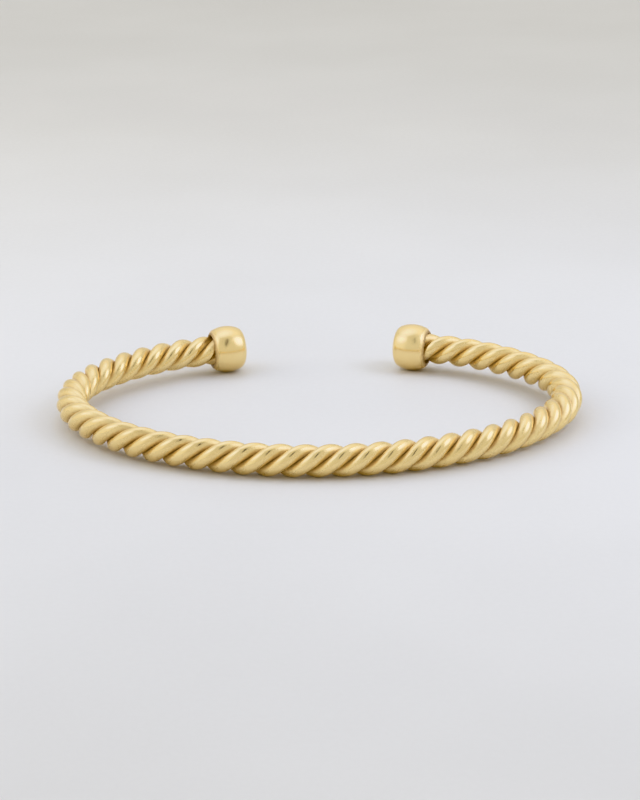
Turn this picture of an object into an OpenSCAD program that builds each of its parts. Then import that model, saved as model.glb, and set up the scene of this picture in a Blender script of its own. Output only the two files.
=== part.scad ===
// Open cuff bracelet: three round strands twisted into a left-handed rope, bent to an open oval,
// with a domed barrel cap on each end. It lies on its side, as on a table, with its opening at the back.
// The caps are thicker than the rope, so the cuff rests on both caps and the front of the rope.

/* [Rope] */
// Diameter over the twisted rope
rope_d = 4; // [4:0.02:4.3]
// Diameter of one strand
strand_d = 1.72; // [1.4:0.02:1.72]
// Length of rope in which a strand turns once
lay_length = 9.1; // [9:0.1:14]
// Angle of the first strand at the middle of the front, from outward towards up
lay_start = 52; // [0:1:120]

/* [Bend] */
// Radius of the front, at the middle of the rope
front_r = 39; // [36:1:42]
// Half the length of the front
front_len = 22; // [20:0.5:24]
// Radius of each shoulder
shoulder_r = 26; // [24:1:28]
// Length of each shoulder
shoulder_len = 14; // [12:0.5:16]
// Radius of each side
side_r = 15; // [14:0.5:16]
// Length of each side
side_len = 16; // [15:0.5:17]
// Radius of the back, on each side of the opening
back_r = 27; // [25:1:30]
// Length of the back, from the side to the rim of the cap
back_len = 18.2; // [16:0.2:19]

/* [End caps] */
// Diameter of an end cap
cap_d = 6.25; // [6:0.05:6.6]
// Length of an end cap
cap_len = 5.2; // [5:0.1:5.8]
// Length of the crowned belt round the cap, between the centres of its edge rounds
belt_len = 2.2; // [1.8:0.1:2.3]
// Radius of the belt's crown, along the cap
crown_r = 4.1; // [3.8:0.1:5]
// Radius of the rounds between the belt and each dome
edge_r = 1.2; // [1:0.1:1.3]
// Depth of the socket that holds the rope, from the top of the cap's inner dome
socket_depth = 3; // [2:0.1:3.4]
// Gap round the rope in the socket, and at its floor
socket_gap = 0.05; // [0.03:0.01:0.1]

/* [Hidden] */
$fn = 64;
GOLD = [0.9, 0.76, 0.45];
STRANDS = 3;
SIDES = 10;          // corners round a strand
RINGS_PER_LAY = 14;  // rings of corners along one turn of a strand
RUN_STEP = 0.01;     // step along the rope that finds a strand's direction
CUT_PAST = 1;        // how far a cut runs past the face that it opens
PROUD = 0.0002;      // how far a cap's edge rounds stand out, so that they cross its crown and domes
X = 0;
Y = 1;
Z = 2;

// Sizes worked out from the dimensions above
rope_r = rope_d / 2;
strand_r = strand_d / 2;
lay_r = rope_r - strand_r;
lay_angle = atan(2 * PI * lay_r / lay_length);
cap_r = cap_d / 2;
half_cap = cap_len / 2;
half_belt = belt_len / 2;
crown_at = cap_r - crown_r;
edge_at = crown_at + sqrt(pow(crown_r - edge_r, 2) - pow(half_belt, 2));
belt_slope = half_belt / (edge_at - crown_at);
dome_rise = half_cap - half_belt;
dome_r = (pow(dome_rise, 2) + pow(edge_at, 2) - pow(edge_r, 2)) / (2 * (dome_rise - edge_r));
dome_at = half_cap - dome_r;
dome_rim_r = dome_r * edge_at / (dome_r - edge_r);
socket_r = rope_r + socket_gap;

// Centreline of the rope, from the middle of the front to the rim of a cap, as tangent arcs: [length, radius]
LEN = 0;
RAD = 1;
ARCS = [
    [front_len, front_r],
    [shoulder_len, shoulder_r],
    [side_len, side_r],
    [back_len, back_r],
];
function turn(len, r) = len / r * 180 / PI;
function arc_from(i) = i == 0 ? 0 : arc_from(i - 1) + ARCS[i - 1][LEN];
function arc_heading(i) = i == 0 ? 0 : arc_heading(i - 1) + turn(ARCS[i - 1][LEN], ARCS[i - 1][RAD]);
function arc_point(i, len) =
    let (r = ARCS[i][RAD], h = arc_heading(i), g = h + turn(len, r))
    arc_start(i) + r * [sin(g) - sin(h), cos(h) - cos(g)];
function arc_start(i) = i == 0 ? [0, 0] : arc_point(i - 1, ARCS[i - 1][LEN]);
function arc_at(s) = max([for (i = [0:len(ARCS) - 1]) if (s >= arc_from(i)) i]);

// Past the rim the rope is straight, as it lies in the socket. s runs along the rope, below 0 on the left.
// The rim is where the socket comes out of the cap's inner dome, or of its edge round
rim = arc_from(len(ARCS));
rim_heading = arc_heading(len(ARCS));
rim_to_belt = socket_r < dome_rim_r
    ? dome_at + sqrt(pow(dome_r, 2) - pow(socket_r, 2))
    : half_belt + sqrt(pow(edge_r, 2) - pow(socket_r - edge_at, 2));
rope_end = rim + rim_to_belt - half_cap + socket_depth - socket_gap;
function half_heading(s) =
    let (i = arc_at(s))
    s >= rim ? rim_heading : arc_heading(i) + turn(s - arc_from(i), ARCS[i][RAD]);
function half_point(s) =
    let (i = arc_at(s), past = max(s - rim, 0))
    arc_point(i, min(s, rim) - arc_from(i)) + past * [cos(rim_heading), sin(rim_heading)];
function line_point(s) = let (p = half_point(abs(s))) [s < 0 ? -p[X] : p[X], p[Y], 0];
function line_outward(s) = let (h = half_heading(abs(s))) [s < 0 ? -sin(h) : sin(h), -cos(h), 0];

// Each strand winds round the centreline at lay_r, and its rings of corners stand square to its own run
function unit(v) = v / norm(v);
function lay_out(s, strand) =
    let (turned = lay_start + 360 * (s / lay_length + strand / STRANDS))
    cos(turned) * line_outward(s) + sin(turned) * [0, 0, 1];
function strand_centre(s, strand) = line_point(s) + lay_r * lay_out(s, strand);
function strand_ring(s, strand) =
    let (
        centre = strand_centre(s, strand),
        run = unit(strand_centre(s + RUN_STEP, strand) - strand_centre(s - RUN_STEP, strand)),
        out = lay_out(s, strand),
        across = unit(out - (out * run) * run),
        along_side = cross(run, across)
    )
    [for (j = [0:SIDES - 1])
        let (a = 360 * j / SIDES)
        centre + strand_r * (cos(a) * across + sin(a) * along_side)];
strand_end = rope_end - strand_r * sin(lay_angle);
ring_count = ceil(2 * strand_end / lay_length * RINGS_PER_LAY) + 1;
function strand_points(strand) =
    [for (k = [0:ring_count - 1])
        let (s = strand_end * (2 * k / (ring_count - 1) - 1))
        each strand_ring(s, strand)];

// Faces of a tube of rings: two triangles between neighbouring corners, and a flat end at each end
function tube_faces() = [
    [for (j = [0:SIDES - 1]) j],
    [for (j = [SIDES - 1:-1:0]) (ring_count - 1) * SIDES + j],
    for (k = [0:ring_count - 2], j = [0:SIDES - 1])
        let (a = k * SIDES + j, b = k * SIDES + (j + 1) % SIDES)
        each [[a, a + SIDES, b + SIDES], [a, b + SIDES, b]],
];

// The caps stand square to the rope's ends
cap_place = half_point(rim + rim_to_belt);

// The cuff is tilted until the caps and the front of the rope touch the ground, then its box is centred
// on the origin with its base at 0
tilt = asin((cap_r - rope_r) / cap_place[Y]);
function tilted(p) =
    [p[X], p[Y] * cos(tilt) - p[Z] * sin(tilt), p[Y] * sin(tilt) + p[Z] * cos(tilt)];
function cap_reach(lean) =
    let (upright = sqrt(1 - pow(lean, 2)))
    abs(lean) < half_belt / (crown_r - edge_r)
        ? crown_at * upright + crown_r
        : edge_at * upright + half_belt * abs(lean) + edge_r;
TUBES = [for (strand = [0:STRANDS - 1]) strand_points(strand)];
TUBE_CORNERS = [for (tube = TUBES, p = tube) tilted(p)];
cap_centre = tilted([cap_place[X], cap_place[Y], 0]);
cap_axis = tilted([cos(rim_heading), sin(rim_heading), 0]);
function lowest(axis) = min([for (p = TUBE_CORNERS) p[axis]]);
function highest(axis) = max([for (p = TUBE_CORNERS) p[axis]]);
base = min(lowest(Z), cap_centre[Z] - cap_reach(cap_axis[Z]));
back = max(highest(Y), cap_centre[Y] + cap_reach(cap_axis[Y]));
shift = [-(lowest(X) + highest(X)) / 2, -(lowest(Y) + back) / 2, -base];

// Places a piece of the cuff on the ground
module lay_down() {
    translate(shift) rotate([tilt, 0, 0]) children();
}

// One strand as a tube
module strand(number) {
    color(GOLD) lay_down() polyhedron(points = TUBES[number], faces = tube_faces());
}

// Half section of a cap: crowned belt, two edge rounds and two domes, which meet smoothly
module cap_section() {
    intersection() {
        translate([crown_at, 0]) circle(crown_r);
        polygon([
            [0, belt_slope * crown_at],
            [cap_d, belt_slope * (crown_at - cap_d)],
            [cap_d, belt_slope * (cap_d - crown_at)],
            [0, -belt_slope * crown_at],
        ]);
    }
    for (side = [-1, 1]) {
        translate([edge_at, side * half_belt]) circle(edge_r + PROUD);
        intersection() {
            translate([0, side * dome_at]) circle(dome_r);
            translate([0, (side - 1) / 2 * cap_len]) square(cap_len);
            polygon([
                [0, side * dome_at],
                [2 * edge_at, side * (belt_len - dome_at)],
                [2 * edge_at, side * (half_cap + dome_r)],
                [0, side * (half_cap + dome_r)],
            ]);
        }
    }
}

// Domed barrel cap along Z, with its socket open at the bottom
module end_cap() {
    color(GOLD) difference() {
        rotate_extrude() cap_section();
        translate([0, 0, -half_cap - CUT_PAST]) cylinder(r = socket_r, h = socket_depth + CUT_PAST);
    }
}

module strand_1() {
    strand(0);
}

module strand_2() {
    strand(1);
}

module strand_3() {
    strand(2);
}

module end_cap_left() {
    lay_down() translate([-cap_place[X], cap_place[Y], 0]) rotate([0, 90, 180 - rim_heading]) end_cap();
}

module end_cap_right() {
    lay_down() translate([cap_place[X], cap_place[Y], 0]) rotate([0, 90, rim_heading]) end_cap();
}

strand_1();
strand_2();
strand_3();
end_cap_left();
end_cap_right();
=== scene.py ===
import math
import bpy
from mathutils import Matrix, Vector


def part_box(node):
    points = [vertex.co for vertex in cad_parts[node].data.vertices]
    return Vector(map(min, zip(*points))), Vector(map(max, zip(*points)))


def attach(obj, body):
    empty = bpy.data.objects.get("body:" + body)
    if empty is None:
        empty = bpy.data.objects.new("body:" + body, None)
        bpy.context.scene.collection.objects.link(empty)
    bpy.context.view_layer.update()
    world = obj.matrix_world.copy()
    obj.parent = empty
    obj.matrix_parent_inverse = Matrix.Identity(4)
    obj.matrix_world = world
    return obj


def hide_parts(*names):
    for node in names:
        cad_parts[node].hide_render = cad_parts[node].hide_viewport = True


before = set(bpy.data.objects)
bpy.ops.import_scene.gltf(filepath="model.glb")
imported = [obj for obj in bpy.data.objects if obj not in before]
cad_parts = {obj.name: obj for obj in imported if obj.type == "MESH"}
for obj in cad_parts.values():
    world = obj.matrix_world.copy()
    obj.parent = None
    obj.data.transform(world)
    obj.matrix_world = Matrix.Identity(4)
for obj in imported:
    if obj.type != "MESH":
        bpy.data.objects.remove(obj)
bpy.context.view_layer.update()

# Sizes of the rope and its end caps: the solids' own, but with strands 0.02 mm thicker, which touch
MM = 0.001
ROPE_R = 2.0 * MM
STRAND_R = 0.87 * MM
LAY_R = ROPE_R - STRAND_R
LAY_LENGTH = 9.1 * MM
LAY_START = math.radians(52)
STRAND_NODES = ("strand_1", "strand_2", "strand_3")

# Centreline of half the rope, from the middle of the front to a cap's rim, as tangent arcs: (length, radius)
ARCS = ((22 * MM, 39 * MM), (14 * MM, 26 * MM), (16 * MM, 15 * MM), (18.2 * MM, 27 * MM))

CAP_R = 3.125 * MM
HALF_CAP = 2.6 * MM
HALF_BELT = 1.1 * MM
CROWN_R = 4.1 * MM
EDGE_R = 1.2 * MM
SOCKET_R = 2.05 * MM
SOCKET_DEPTH = 3 * MM
MOUTH_ROUND = 0.15 * MM

# Painted shade in the grooves, a brown that darkens them: the depth at which it is strongest, how far up
# from there it fades, its strength
GROOVE_FLOOR = 0.82 * MM
GROOVE_SHADE = 0.95 * MM
GROOVE_LEVEL = 0.9
# Painted shade on the strands: how far out of a cap's mouth it reaches, and its strength
ROPE_MOUTH_SHADE = 0.5 * MM
ROPE_MOUTH_LEVEL = 0.6
# Painted shade on the caps: how far from the mouth it stays strongest, and how far on from there it fades
CAP_MOUTH_DARK = 0.28 * MM
CAP_MOUTH_SHADE = 0.72 * MM

# How much longer than wide the polishing lines are
GRAIN_STRETCH = 18

# Fineness of the meshes
STRAND_SIDES = 36
RINGS_PER_LAY = 44
CAP_SIDES = 128
ARC_STEPS = 14


# Centreline
def half_line(s):
    """Place and heading of the centreline at s from the middle of the front, with s above 0."""
    at = Vector((0, 0))
    heading = 0.0
    for length, radius in ARCS:
        here = min(s, length)
        after = heading + here / radius
        at += radius * Vector((math.sin(after) - math.sin(heading), math.cos(heading) - math.cos(after)))
        heading = after
        s -= here
    return at + s * Vector((math.cos(heading), math.sin(heading))), heading


def line_at(s):
    """Point of the centreline in the cuff's own plane, and the direction out of the hollow there."""
    at, heading = half_line(abs(s))
    side = -1 if s < 0 else 1
    return Vector((side * at.x, at.y, 0)), Vector((side * math.sin(heading), -math.cos(heading), 0))


RIM = sum(length for length, radius in ARCS)


# Caps: section as arcs, in the cap's own frame with Z along it and the socket at the bottom
CROWN_AT = CAP_R - CROWN_R
EDGE_AT = CROWN_AT + math.sqrt((CROWN_R - EDGE_R) ** 2 - HALF_BELT ** 2)
DOME_RISE = HALF_CAP - HALF_BELT
DOME_R = (DOME_RISE ** 2 + EDGE_AT ** 2 - EDGE_R ** 2) / (2 * (DOME_RISE - EDGE_R))
DOME_AT = HALF_CAP - DOME_R
RIM_TO_BELT = math.sqrt(DOME_R ** 2 - SOCKET_R ** 2) + DOME_AT
STRAND_END = RIM + RIM_TO_BELT - HALF_CAP + SOCKET_DEPTH - STRAND_R


def cap_reach(lean):
    """How far a cap reaches from its centre, in a direction whose share along the cap is lean."""
    upright = math.sqrt(1 - lean ** 2)
    if abs(lean) < HALF_BELT / (CROWN_R - EDGE_R):
        return CROWN_AT * upright + CROWN_R
    return EDGE_AT * upright + HALF_BELT * abs(lean) + EDGE_R


# The cuff's plane is tilted until it rests on its caps and front, and moved to where the solids are
cap_at, RIM_HEADING = half_line(RIM + RIM_TO_BELT)
TILT = Matrix.Rotation(math.asin((CAP_R - ROPE_R) / cap_at.y), 4, "X")
cap_centre = TILT @ Vector((cap_at.x, cap_at.y, 0))
cap_axis = TILT @ Vector((math.cos(RIM_HEADING), math.sin(RIM_HEADING), 0))
left_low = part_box("end_cap_left")[0]
right_low, right_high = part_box("end_cap_right")
LAY_DOWN = Matrix.Translation((
    (left_low.x + right_high.x) / 2,
    right_high.y - cap_reach(cap_axis.y) - cap_centre.y,
    right_low.z + cap_reach(cap_axis.z) - cap_centre.z,
)) @ TILT


def new_mesh(name, points, faces, shades, grains):
    """A smooth object in the row's frame from points in the cuff's plane, with what its finish needs."""
    mesh = bpy.data.meshes.new(name)
    mesh.from_pydata([LAY_DOWN @ p for p in points], [], faces)
    mesh.polygons.foreach_set("use_smooth", [True] * len(mesh.polygons))
    mesh.attributes.new("shade", "FLOAT", "POINT").data.foreach_set("value", shades)
    flat = [value for grain in grains for value in grain]
    mesh.attributes.new("grain", "FLOAT_VECTOR", "POINT").data.foreach_set("vector", flat)
    piece = bpy.data.objects.new(name, mesh)
    bpy.context.scene.collection.objects.link(piece)
    return piece


# Strands
def lay_out(s, strand):
    """The direction from the rope's middle to the middle of a strand, at s."""
    turned = LAY_START + math.tau * (s / LAY_LENGTH + strand / len(STRAND_NODES))
    return math.cos(turned) * line_at(s)[1] + math.sin(turned) * Vector((0, 0, 1))


def strand_centre(s, strand):
    """The middle of a strand at s, in the cuff's own plane."""
    return line_at(s)[0] + LAY_R * lay_out(s, strand)


def near(gap, reach):
    """1 where the gap is 0, falling smoothly to 0 where it is as long as the reach."""
    share = max(0.0, 1 - abs(gap) / reach)
    return share * share * (3 - 2 * share)


def make_strand(strand):
    """One strand as a smooth tube, with shade painted where it is deep in the rope or close to a cap's
    mouth.
    """
    step = 0.01 * MM
    count = round(2 * STRAND_END / LAY_LENGTH * RINGS_PER_LAY) + 1
    points, shades, grains = [], [], []
    for k in range(count):
        s = STRAND_END * (2 * k / (count - 1) - 1)
        centre = strand_centre(s, strand)
        run = (strand_centre(s + step, strand) - strand_centre(s - step, strand)).normalized()
        out = lay_out(s, strand)
        across = (out - out.dot(run) * run).normalized()
        side = run.cross(across)
        mouth_shade = ROPE_MOUTH_LEVEL * near(max(0, RIM - abs(s)), ROPE_MOUTH_SHADE)
        for j in range(STRAND_SIDES):
            a = math.tau * j / STRAND_SIDES
            points.append(centre + STRAND_R * (math.cos(a) * across + math.sin(a) * side))
            depth = ROPE_R - math.hypot(LAY_R + STRAND_R * math.cos(a), STRAND_R * math.sin(a))
            groove_shade = GROOVE_LEVEL * near(GROOVE_FLOOR - min(depth, GROOVE_FLOOR), GROOVE_SHADE)
            shades.append(max(groove_shade, mouth_shade))
            grains.append((STRAND_R * math.cos(a), STRAND_R * math.sin(a), s / GRAIN_STRETCH + strand))
    faces = [list(range(STRAND_SIDES))[::-1], [(count - 1) * STRAND_SIDES + j for j in range(STRAND_SIDES)]]
    for k in range(count - 1):
        for j in range(STRAND_SIDES):
            this, following = k * STRAND_SIDES + j, k * STRAND_SIDES + (j + 1) % STRAND_SIDES
            faces.append([this, following, following + STRAND_SIDES, this + STRAND_SIDES])
    return new_mesh("wire_" + str(strand + 1), points, faces, shades, grains)


# Caps
def arc(centre, radius, start, end):
    """Points of an arc of the cap's section, (out, along), from one angle to another."""
    return [
        (centre[0] + radius * math.cos(a), centre[1] + radius * math.sin(a))
        for a in (start + (end - start) * i / ARC_STEPS for i in range(ARC_STEPS + 1))
    ]


def cap_section():
    """The cap's half section from the middle of its outer dome to the floor of its socket."""
    crown_turn = math.asin(HALF_BELT / (CROWN_R - EDGE_R))
    dome_turn = math.atan2(HALF_BELT - DOME_AT, EDGE_AT)
    right = math.pi / 2
    outer = arc((0, DOME_AT), DOME_R, right, dome_turn)
    outer += arc((EDGE_AT, HALF_BELT), EDGE_R, dome_turn, crown_turn)[1:]
    outer += arc((CROWN_AT, 0), CROWN_R, crown_turn, -crown_turn)[1:]
    # The inner edge round runs into a small round at the socket's mouth
    mouth_out = SOCKET_R + MOUTH_ROUND
    mouth_at = -HALF_BELT - math.sqrt((EDGE_R - MOUTH_ROUND) ** 2 - (mouth_out - EDGE_AT) ** 2)
    mouth_turn = math.atan2(mouth_at + HALF_BELT, mouth_out - EDGE_AT)
    outer += arc((EDGE_AT, -HALF_BELT), EDGE_R, -crown_turn, mouth_turn)[1:]
    outer += arc((mouth_out, mouth_at), MOUTH_ROUND, mouth_turn, -math.pi)[1:]
    floor = SOCKET_DEPTH - HALF_CAP
    return outer + [(SOCKET_R, floor), (0, floor)]


def make_cap(name, side):
    """A cap on the right (side 1) or left (side -1) end of the rope."""
    section = cap_section()
    along = Vector((side * math.cos(RIM_HEADING), math.sin(RIM_HEADING), 0))
    up = Vector((0, 0, 1))
    out = up.cross(along)
    centre = Vector((side * cap_at.x, cap_at.y, 0))
    points, faces, shades, grains = [], [], [], []
    for r, z in section[1:-1]:
        # Shade painted on the cap round the socket's mouth, where the rope goes in
        mouth_gap = math.hypot(r - SOCKET_R, z + RIM_TO_BELT)
        mouth_shade = near(max(0, mouth_gap - CAP_MOUTH_DARK), CAP_MOUTH_SHADE)
        for j in range(CAP_SIDES):
            a = math.tau * j / CAP_SIDES
            points.append(centre + z * along + r * (math.cos(a) * out + math.sin(a) * up))
            shades.append(mouth_shade)
            grains.append((r * math.cos(a) / GRAIN_STRETCH, r * math.sin(a) / GRAIN_STRETCH, z - r + side))
    rows = len(section) - 2
    first, last = len(points), len(points) + 1
    points += [centre + section[0][1] * along, centre + section[-1][1] * along]
    shades += [0, 1]
    grains += [(0, 0, section[0][1] + side), (0, 0, section[-1][1] + side)]
    for j in range(CAP_SIDES):
        n = (j + 1) % CAP_SIDES
        faces.append([first, j, n])
        for k in range(rows - 1):
            top, low = k * CAP_SIDES, (k + 1) * CAP_SIDES
            faces.append([top + j, low + j, low + n, top + n])
        base = (rows - 1) * CAP_SIDES
        faces.append([last, base + n, base + j])
    return new_mesh(name, points, faces, shades, grains)


# Materials
def new_material(name):
    """A new material, with its node tree and its shader."""
    material = bpy.data.materials.new(name)
    material.use_nodes = True
    return material, material.node_tree, material.node_tree.nodes["Principled BSDF"]


def add(tree, kind, inputs, **settings):
    """A new node, whose inputs are values or other nodes' outputs."""
    made = tree.nodes.new("ShaderNode" + kind)
    for key, value in settings.items():
        setattr(made, key, value)
    for key, value in inputs.items():
        if isinstance(value, bpy.types.NodeSocket):
            tree.links.new(value, made.inputs[key])
        else:
            made.inputs[key].default_value = value
    return made


def noise(tree, vector, size, detail=2.0):
    """Noise from 0 to 1, with features of a size in metres."""
    inputs = {"Vector": vector, "Scale": 1 / size, "Detail": detail}
    return add(tree, "TexNoise", inputs).outputs["Fac"]


def blend(tree, factor, low, high):
    """A colour between two colours, by a factor."""
    mix = add(tree, "Mix", {0: factor}, data_type="RGBA")
    for socket, value in ((mix.inputs[6], low), (mix.inputs[7], high)):
        if isinstance(value, bpy.types.NodeSocket):
            tree.links.new(value, socket)
        else:
            socket.default_value = value
    return mix.outputs[2]


def spread(tree, value, low, high, to_low, to_high):
    """A value whose range from low to high is mapped smoothly to another range."""
    inputs = {"Value": value, "From Min": low, "From Max": high, "To Min": to_low, "To Max": to_high}
    return add(tree, "MapRange", inputs, interpolation_type="SMOOTHSTEP").outputs["Result"]


def bump(tree, height, size, normal=None):
    """Bump whose height from 0 to 1 stands for a size in metres."""
    inputs = {"Height": height, "Strength": 1.0, "Distance": size}
    if normal:
        inputs["Normal"] = normal
    return add(tree, "Bump", inputs).outputs["Normal"]


# The gold's colours and roughness, on the strands and on the caps, and the colours of the painted shade
WIRE_DEEP = (0.925, 0.712, 0.338, 1)
WIRE_PALE = (0.925, 0.724, 0.358, 1)
WIRE_ROUGHNESS = (0.14, 0.19)
# The caps' gold is about 3% lighter than the strands': painted light that makes up for the caps looking too
# dark under the scene's light
CAP_DEEP_PAINTED_LIGHT = (0.955, 0.738, 0.354, 1)
CAP_PALE_PAINTED_LIGHT = (0.955, 0.750, 0.374, 1)
CAP_ROUGHNESS = (0.19, 0.24)
PAINTED_SHADE_COLOR = (0.63, 0.44, 0.195, 1)
PAINTED_DEEP_SHADE_COLOR = (0.34, 0.22, 0.085, 1)
PAINTED_SHADE_METALLIC = 0.15

# Ranges of a noise's values that are spread out, since few lie outside them
NOISE_RANGE = (0.3, 0.7)
CLOUD_RANGE = (0.35, 0.65)

# Sizes of the gold's fine features, and heights of those that stand out
LINE_SIZE = 0.06 * MM
LINE_HEIGHT = 0.0006 * MM
WAVE_SIZE = 1.4 * MM
WAVE_HEIGHT = 0.008 * MM
CLOUD_SIZE = 5 * MM
BLOTCH_SIZE = 0.35 * MM

# Shades between which the polish grows dull, the painted shade covers the gold, and the painted shade grows
# deeper
DULL_SHADES = (0.0, 0.4)
PAINTED_SHADE_RANGE = (0.38, 0.92)
DEEP_SHADES = (0.85, 1.1)
# Most by which the broken edge moves the shade either way, and roughness added where the polish is dull
RAGGED = 0.08
DULLNESS = 0.24


def make_gold(name, low, high, smooth, rough):
    """Polished gold, with fine lines, a slightly uneven surface, and brown painted shade where the mesh's
    shade attribute is high.
    """
    material, tree, shader = new_material(name)
    place = add(tree, "TexCoord", {}).outputs["Object"]
    grain = add(tree, "Attribute", {}, attribute_name="grain").outputs["Vector"]
    shade = add(tree, "Attribute", {}, attribute_name="shade").outputs["Fac"]
    lines = noise(tree, grain, LINE_SIZE)
    waves = noise(tree, place, WAVE_SIZE)
    clouds = noise(tree, place, CLOUD_SIZE)
    blotches = noise(tree, place, BLOTCH_SIZE, 4.0)
    # Painted shade sits in the deepest places, with a broken edge, and the polish is duller round it
    edge = spread(tree, blotches, *NOISE_RANGE, -RAGGED, RAGGED)
    ragged = add(tree, "Math", {0: shade, 1: edge}, operation="ADD").outputs[0]
    dull = spread(tree, ragged, *DULL_SHADES, 0.0, 1.0)
    painted_shade = spread(tree, ragged, *PAINTED_SHADE_RANGE, 0.0, 1.0)
    deep = spread(tree, ragged, *DEEP_SHADES, 0.0, 1.0)
    clean = blend(tree, spread(tree, clouds, *CLOUD_RANGE, 0.0, 1.0), low, high)
    color = blend(tree, deep, blend(tree, painted_shade, clean, PAINTED_SHADE_COLOR), PAINTED_DEEP_SHADE_COLOR)
    tree.links.new(color, shader.inputs["Base Color"])
    polish = spread(tree, lines, *NOISE_RANGE, smooth, rough)
    dulled = add(tree, "Math", {0: dull, 1: DULLNESS, 2: polish}, operation="MULTIPLY_ADD").outputs[0]
    tree.links.new(dulled, shader.inputs["Roughness"])
    metallic = spread(tree, painted_shade, 0.0, 1.0, 1.0, PAINTED_SHADE_METALLIC)
    tree.links.new(metallic, shader.inputs["Metallic"])
    normal = bump(tree, waves, WAVE_HEIGHT)
    tree.links.new(bump(tree, lines, LINE_HEIGHT, normal), shader.inputs["Normal"])
    return material


WIRE_GOLD = make_gold("wire_gold", WIRE_DEEP, WIRE_PALE, *WIRE_ROUGHNESS)
CAP_GOLD_PAINTED_LIGHT = make_gold("cap_gold_painted_light", CAP_DEEP_PAINTED_LIGHT, CAP_PALE_PAINTED_LIGHT, *CAP_ROUGHNESS)
for number, node in enumerate(STRAND_NODES):
    wire = make_strand(number)
    wire.data.materials.append(WIRE_GOLD)
    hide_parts(node)
    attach(wire, "root")
for node, side in (("end_cap_left", -1), ("end_cap_right", 1)):
    cap = make_cap("barrel_" + node, side)
    cap.data.materials.append(CAP_GOLD_PAINTED_LIGHT)
    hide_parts(node)
    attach(cap, "root")


# Stage: a table, a dark gap between the lights, whose thin reflection shows on the strands and caps, and two
# flaps that keep that reflection off some strands
TABLE_SIZE = 4
TABLE_DARK = (0.70, 0.68, 0.63, 1)
TABLE_LIGHT = (0.73, 0.71, 0.66, 1)
TABLE_ROUGHNESS = (0.55, 0.7)
TABLE_CLOUD_SIZE = 60 * MM
FIBRE_SIZE = 0.8 * MM
FIBRE_HEIGHT = 0.02 * MM

FELT_DARK = (0.01, 0.01, 0.01, 1)
FELT_LIGHT = (0.03, 0.03, 0.03, 1)
FELT_ROUGHNESS = 0.95
FELT_SIZE = 4 * MM


def make_table_top():
    """The table's pale matt board."""
    material, tree, shader = new_material("pale_board")
    place = add(tree, "TexCoord", {}).outputs["Object"]
    clouds = noise(tree, place, TABLE_CLOUD_SIZE, 3.0)
    fibres = noise(tree, place, FIBRE_SIZE, 4.0)
    tone = blend(tree, spread(tree, clouds, *NOISE_RANGE, 0.0, 1.0), TABLE_DARK, TABLE_LIGHT)
    tree.links.new(tone, shader.inputs["Base Color"])
    tree.links.new(spread(tree, fibres, *NOISE_RANGE, *TABLE_ROUGHNESS), shader.inputs["Roughness"])
    tree.links.new(bump(tree, fibres, FIBRE_HEIGHT), shader.inputs["Normal"])
    return material


def make_sheet(name, corners, material):
    """A flat face with its corners in order."""
    mesh = bpy.data.meshes.new(name)
    mesh.from_pydata(corners, [], [list(range(len(corners)))])
    mesh.materials.append(material)
    card = bpy.data.objects.new(name, mesh)
    bpy.context.scene.collection.objects.link(card)
    return card


def make_card(name, place, across, up, material):
    """A flat rectangle round a place, spanned by two vectors."""
    corners = [place + x * across / 2 + y * up / 2 for x, y in ((-1, -1), (1, -1), (1, 1), (-1, 1))]
    return make_sheet(name, corners, material)


def toward(azimuth, elevation):
    """The direction at an azimuth, from the camera's side to the right, and an elevation, in degrees."""
    a, e = math.radians(azimuth), math.radians(elevation)
    return Vector((math.sin(a) * math.cos(e), -math.cos(a) * math.cos(e), math.sin(e)))


def make_gap():
    """A dark gap, wide in the middle and closed at its ends."""
    material, tree, shader = new_material("dark_gap")
    place = add(tree, "TexCoord", {}).outputs["Object"]
    felt = noise(tree, place, FELT_SIZE, 4.0)
    tree.links.new(blend(tree, felt, FELT_DARK, FELT_LIGHT), shader.inputs["Base Color"])
    shader.inputs["Roughness"].default_value = FELT_ROUGHNESS
    half_width = GAP_LOW.length * math.tan(math.radians(GAP_WIDTH / 2))
    across = half_width * (GAP_LOW + GAP_HIGH).cross(GAP_HIGH - GAP_LOW).normalized()
    shares = [i / GAP_STEPS for i in range(GAP_STEPS + 1)]
    # Full width in the middle, at a share of a half, and none at either end
    right = [GAP_LOW.lerp(GAP_HIGH, share) + 4 * share * (1 - share) * across for share in shares]
    left = [GAP_LOW.lerp(GAP_HIGH, share) - 4 * share * (1 - share) * across for share in shares[-2:0:-1]]
    gap = make_sheet("gap", right + left, material)
    gap.visible_camera = False


def make_flap(name, seen_from, low_share, high_share, width):
    """A flap of the tent that hides the gap from the gold to the right of a place."""
    material, tree, shader = new_material(name + "_cloth")
    lamp = add(tree, "Emission", {"Strength": FLAP_LEVEL})
    tree.links.new(lamp.outputs[0], tree.nodes["Material Output"].inputs["Surface"])
    tree.nodes.remove(shader)
    low, high = seen_from.lerp(GAP_LOW, low_share), seen_from.lerp(GAP_HIGH, high_share)
    wide = Vector((width, 0, 0))
    flap = make_sheet(name, [low, low + wide, high + wide, high], material)
    flap.visible_camera = False
    flap.visible_diffuse = False
    flap.visible_shadow = False


# The gap's ends, by distance in metres, azimuth and elevation, its width in degrees, and its outline's steps
GAP_DISTANCE = 0.4
GAP_LOW = GAP_DISTANCE * toward(4, 26)
GAP_HIGH = GAP_DISTANCE * toward(26, 74)
GAP_WIDTH = 9
GAP_STEPS = 12

# Brightness of the flaps, the same as the tent's low walls
FLAP_LEVEL = 0.76
# Flaps: name, place, shares of the way from there to the gap's low and high end, and width in metres
FLAPS = (
    ("front_flap", Vector((17.7, -22, 3)) * MM, 0.12, 0.12, 0.030),
    ("back_flap", Vector((12.2, 22, 3)) * MM, 0.1, 0.25, 0.024),
)

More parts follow.
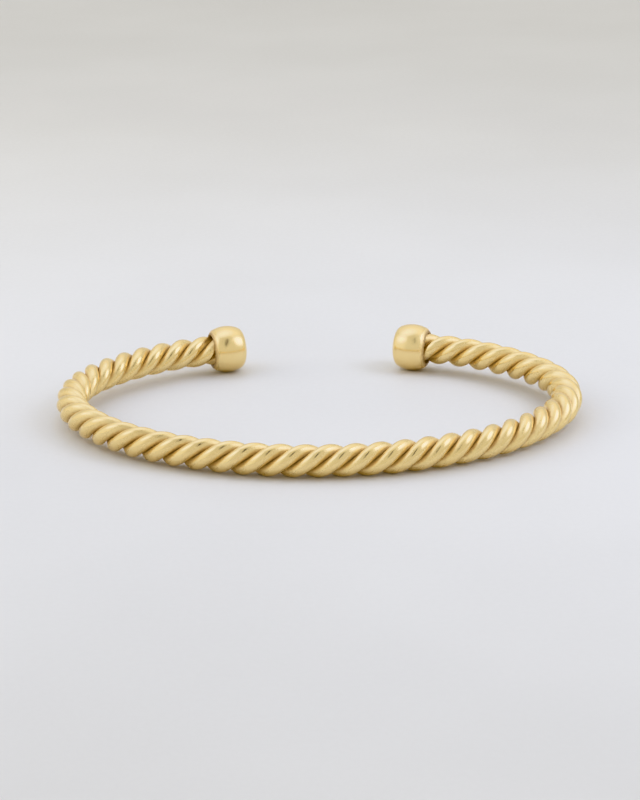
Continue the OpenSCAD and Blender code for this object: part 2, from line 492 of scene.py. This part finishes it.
TABLE_ACROSS = Vector((TABLE_SIZE, 0, 0))
TABLE_ALONG = Vector((0, TABLE_SIZE, 0))
make_card("table", Vector((0, 0, 0)), TABLE_ACROSS, TABLE_ALONG, make_table_top())
make_gap()
for flap in FLAPS:
    make_flap(*flap)


# Camera, at the photo's angle
def make_camera():
    """A camera that shows the cuff from where the photo shows it."""
    elevation = math.radians(19.64)
    yaw = math.radians(-0.35)
    roll = math.radians(-0.66)
    distance = 326.3 * MM
    aim = Vector((0, 22 * MM, 0))
    slide_right = -0.102 * MM
    slide_down = -0.109 * MM
    focal_px = 2543.3
    frame_px = 640
    sensor_mm = 36
    # Axes of the view in the cuff's plane
    spin = Matrix.Rotation(-yaw, 3, "Z")
    ahead = spin @ Vector((0, math.cos(elevation), -math.sin(elevation)))
    right = spin @ Vector((1, 0, 0))
    down = spin @ Vector((0, -math.sin(elevation), -math.cos(elevation)))
    place = aim - distance * ahead - slide_right * right - slide_down * down
    rolled_right = math.cos(roll) * right - math.sin(roll) * down
    rolled_down = math.sin(roll) * right + math.cos(roll) * down
    data = bpy.data.cameras.new("camera")
    data.sensor_fit = "HORIZONTAL"
    data.sensor_width = sensor_mm
    data.lens = sensor_mm * focal_px / frame_px
    data.clip_start = 10 * MM
    camera = bpy.data.objects.new("camera", data)
    bpy.context.scene.collection.objects.link(camera)
    axes = Matrix((rolled_right, -rolled_down, -ahead)).transposed().to_4x4()
    camera.matrix_world = LAY_DOWN @ Matrix.Translation(place) @ axes
    bpy.context.scene.camera = camera


make_camera()


# Light
def soft_box(name, azimuth, elevation, width, height, radiance, distance, mirrored):
    """A rectangular light facing the cuff, sized in degrees, that the gold mirrors or not."""
    data = bpy.data.lights.new(name, "AREA")
    data.shape = "RECTANGLE"
    data.size = 2 * distance * math.tan(math.radians(width / 2))
    data.size_y = 2 * distance * math.tan(math.radians(height / 2))
    data.energy = radiance * math.pi * data.size * data.size_y
    light = bpy.data.objects.new(name, data)
    bpy.context.scene.collection.objects.link(light)
    light.visible_glossy = mirrored
    light.location = distance * toward(azimuth, elevation)
    light.rotation_euler = toward(azimuth, elevation).to_track_quat("Z", "Y").to_euler()


def make_panel(name, place, width, height, middle, outside):
    """A glowing panel of the tent's wall that faces the cuff, with a hot middle, fading out at its edge."""
    material, tree, shader = new_material(name + "_cloth")
    inside = add(tree, "TexCoord", {}).outputs["Object"]
    out = add(tree, "VectorMath", {0: inside}, operation="LENGTH").outputs["Value"]
    level = spread(tree, out, 0.0, PANEL_HOT, middle, outside)
    lamp = add(tree, "Emission", {"Color": PANEL_COLOR, "Strength": level})
    clear = add(tree, "BsdfTransparent", {})
    glow = spread(tree, out, PANEL_CORE, 1.0, 1.0, 0.0)
    mix = add(tree, "MixShader", {0: glow, 1: clear.outputs[0], 2: lamp.outputs[0]})
    tree.links.new(mix.outputs[0], tree.nodes["Material Output"].inputs["Surface"])
    tree.nodes.remove(shader)
    panel = make_card(name, Vector((0, 0, 0)), Vector((2, 0, 0)), Vector((0, 2, 0)), material)
    turn = place.to_track_quat("Z", "Y").to_matrix().to_4x4()
    panel.matrix_world = Matrix.Translation(place) @ turn @ Matrix.Diagonal((width / 2, height / 2, 1, 1))
    panel.visible_camera = False


def make_tent():
    """Soft light from all round, like a light tent lit through its walls."""
    world = bpy.data.worlds.new("tent")
    world.use_nodes = True
    tree = world.node_tree
    direction = add(tree, "TexCoord", {}).outputs["Generated"]
    height = add(tree, "SeparateXYZ", {"Vector": direction}).outputs["Z"]
    ramp = add(tree, "ValToRGB", {"Fac": height})
    stops = ramp.color_ramp.elements
    for place, level in TENT:
        stops.new(place).color = (level, level, level, 1)
    # The two stops that the ramp came with, at its ends, go
    stops.remove(stops[-1])
    stops.remove(stops[0])
    total = ramp.outputs["Color"]
    for azimuth, elevation, inner, outer, amount in GLOWS:
        centre = {0: direction, 1: toward(azimuth, elevation)}
        nearness = add(tree, "VectorMath", centre, operation="DOT_PRODUCT").outputs["Value"]
        low, high = math.cos(math.radians(outer)), math.cos(math.radians(inner))
        glow = spread(tree, nearness, low, high, 0.0, amount)
        total = add(tree, "Math", {0: total, 1: glow}, operation="ADD").outputs[0]
    tree.links.new(total, tree.nodes["Background"].inputs["Color"])
    bpy.context.scene.world = world


# Brightness of the tent at the sine of the elevation
TENT = ((0.0001, 0.76), (0.6, 0.77), (0.9, 0.70), (0.9999, 0.72))
# Glows on the tent's walls: azimuth, elevation, inner and outer angle of the soft edge, and brightness added
GLOWS = (
    (180, 62, 10, 45, 0.25),
    (-80, 15, 10, 50, 0.22),
)

# Soft boxes: name, azimuth, elevation, width and height in degrees, radiance, distance in metres, and
# whether the gold mirrors it
SOFT_BOXES = (
    ("top_box", 160, 66, 44, 36, 0.3, 0.6, True),
    ("left_fill", -95, 38, 40, 40, 2.0, 0.24, False),
)

# A panel's cool white, how far out its hot middle reaches, and how far out it starts to fade, as shares of
# the way to its edge
PANEL_COLOR = (0.92, 1.0, 1.28, 1)
PANEL_HOT = 0.75
PANEL_CORE = 0.45
# Panels: name, place, width and height in metres, and radiance in the middle and outside it
PANELS = (
    ("right_panel", Vector((0.142, -0.012, 0.129)), 0.22, 0.21, 5.2, 1.3),
    ("left_panel", Vector((-0.155, -0.030, 0.165)), 0.23, 0.20, 1.65, 1.5),
    ("top_panel", Vector((-0.025, 0.045, 0.130)), 0.17, 0.14, 1.5, 1.2),
)

for box in SOFT_BOXES:
    soft_box(*box)
for panel in PANELS:
    make_panel(*panel)
make_tent()
bpy.context.scene.view_settings.view_transform = "Khronos PBR Neutral"
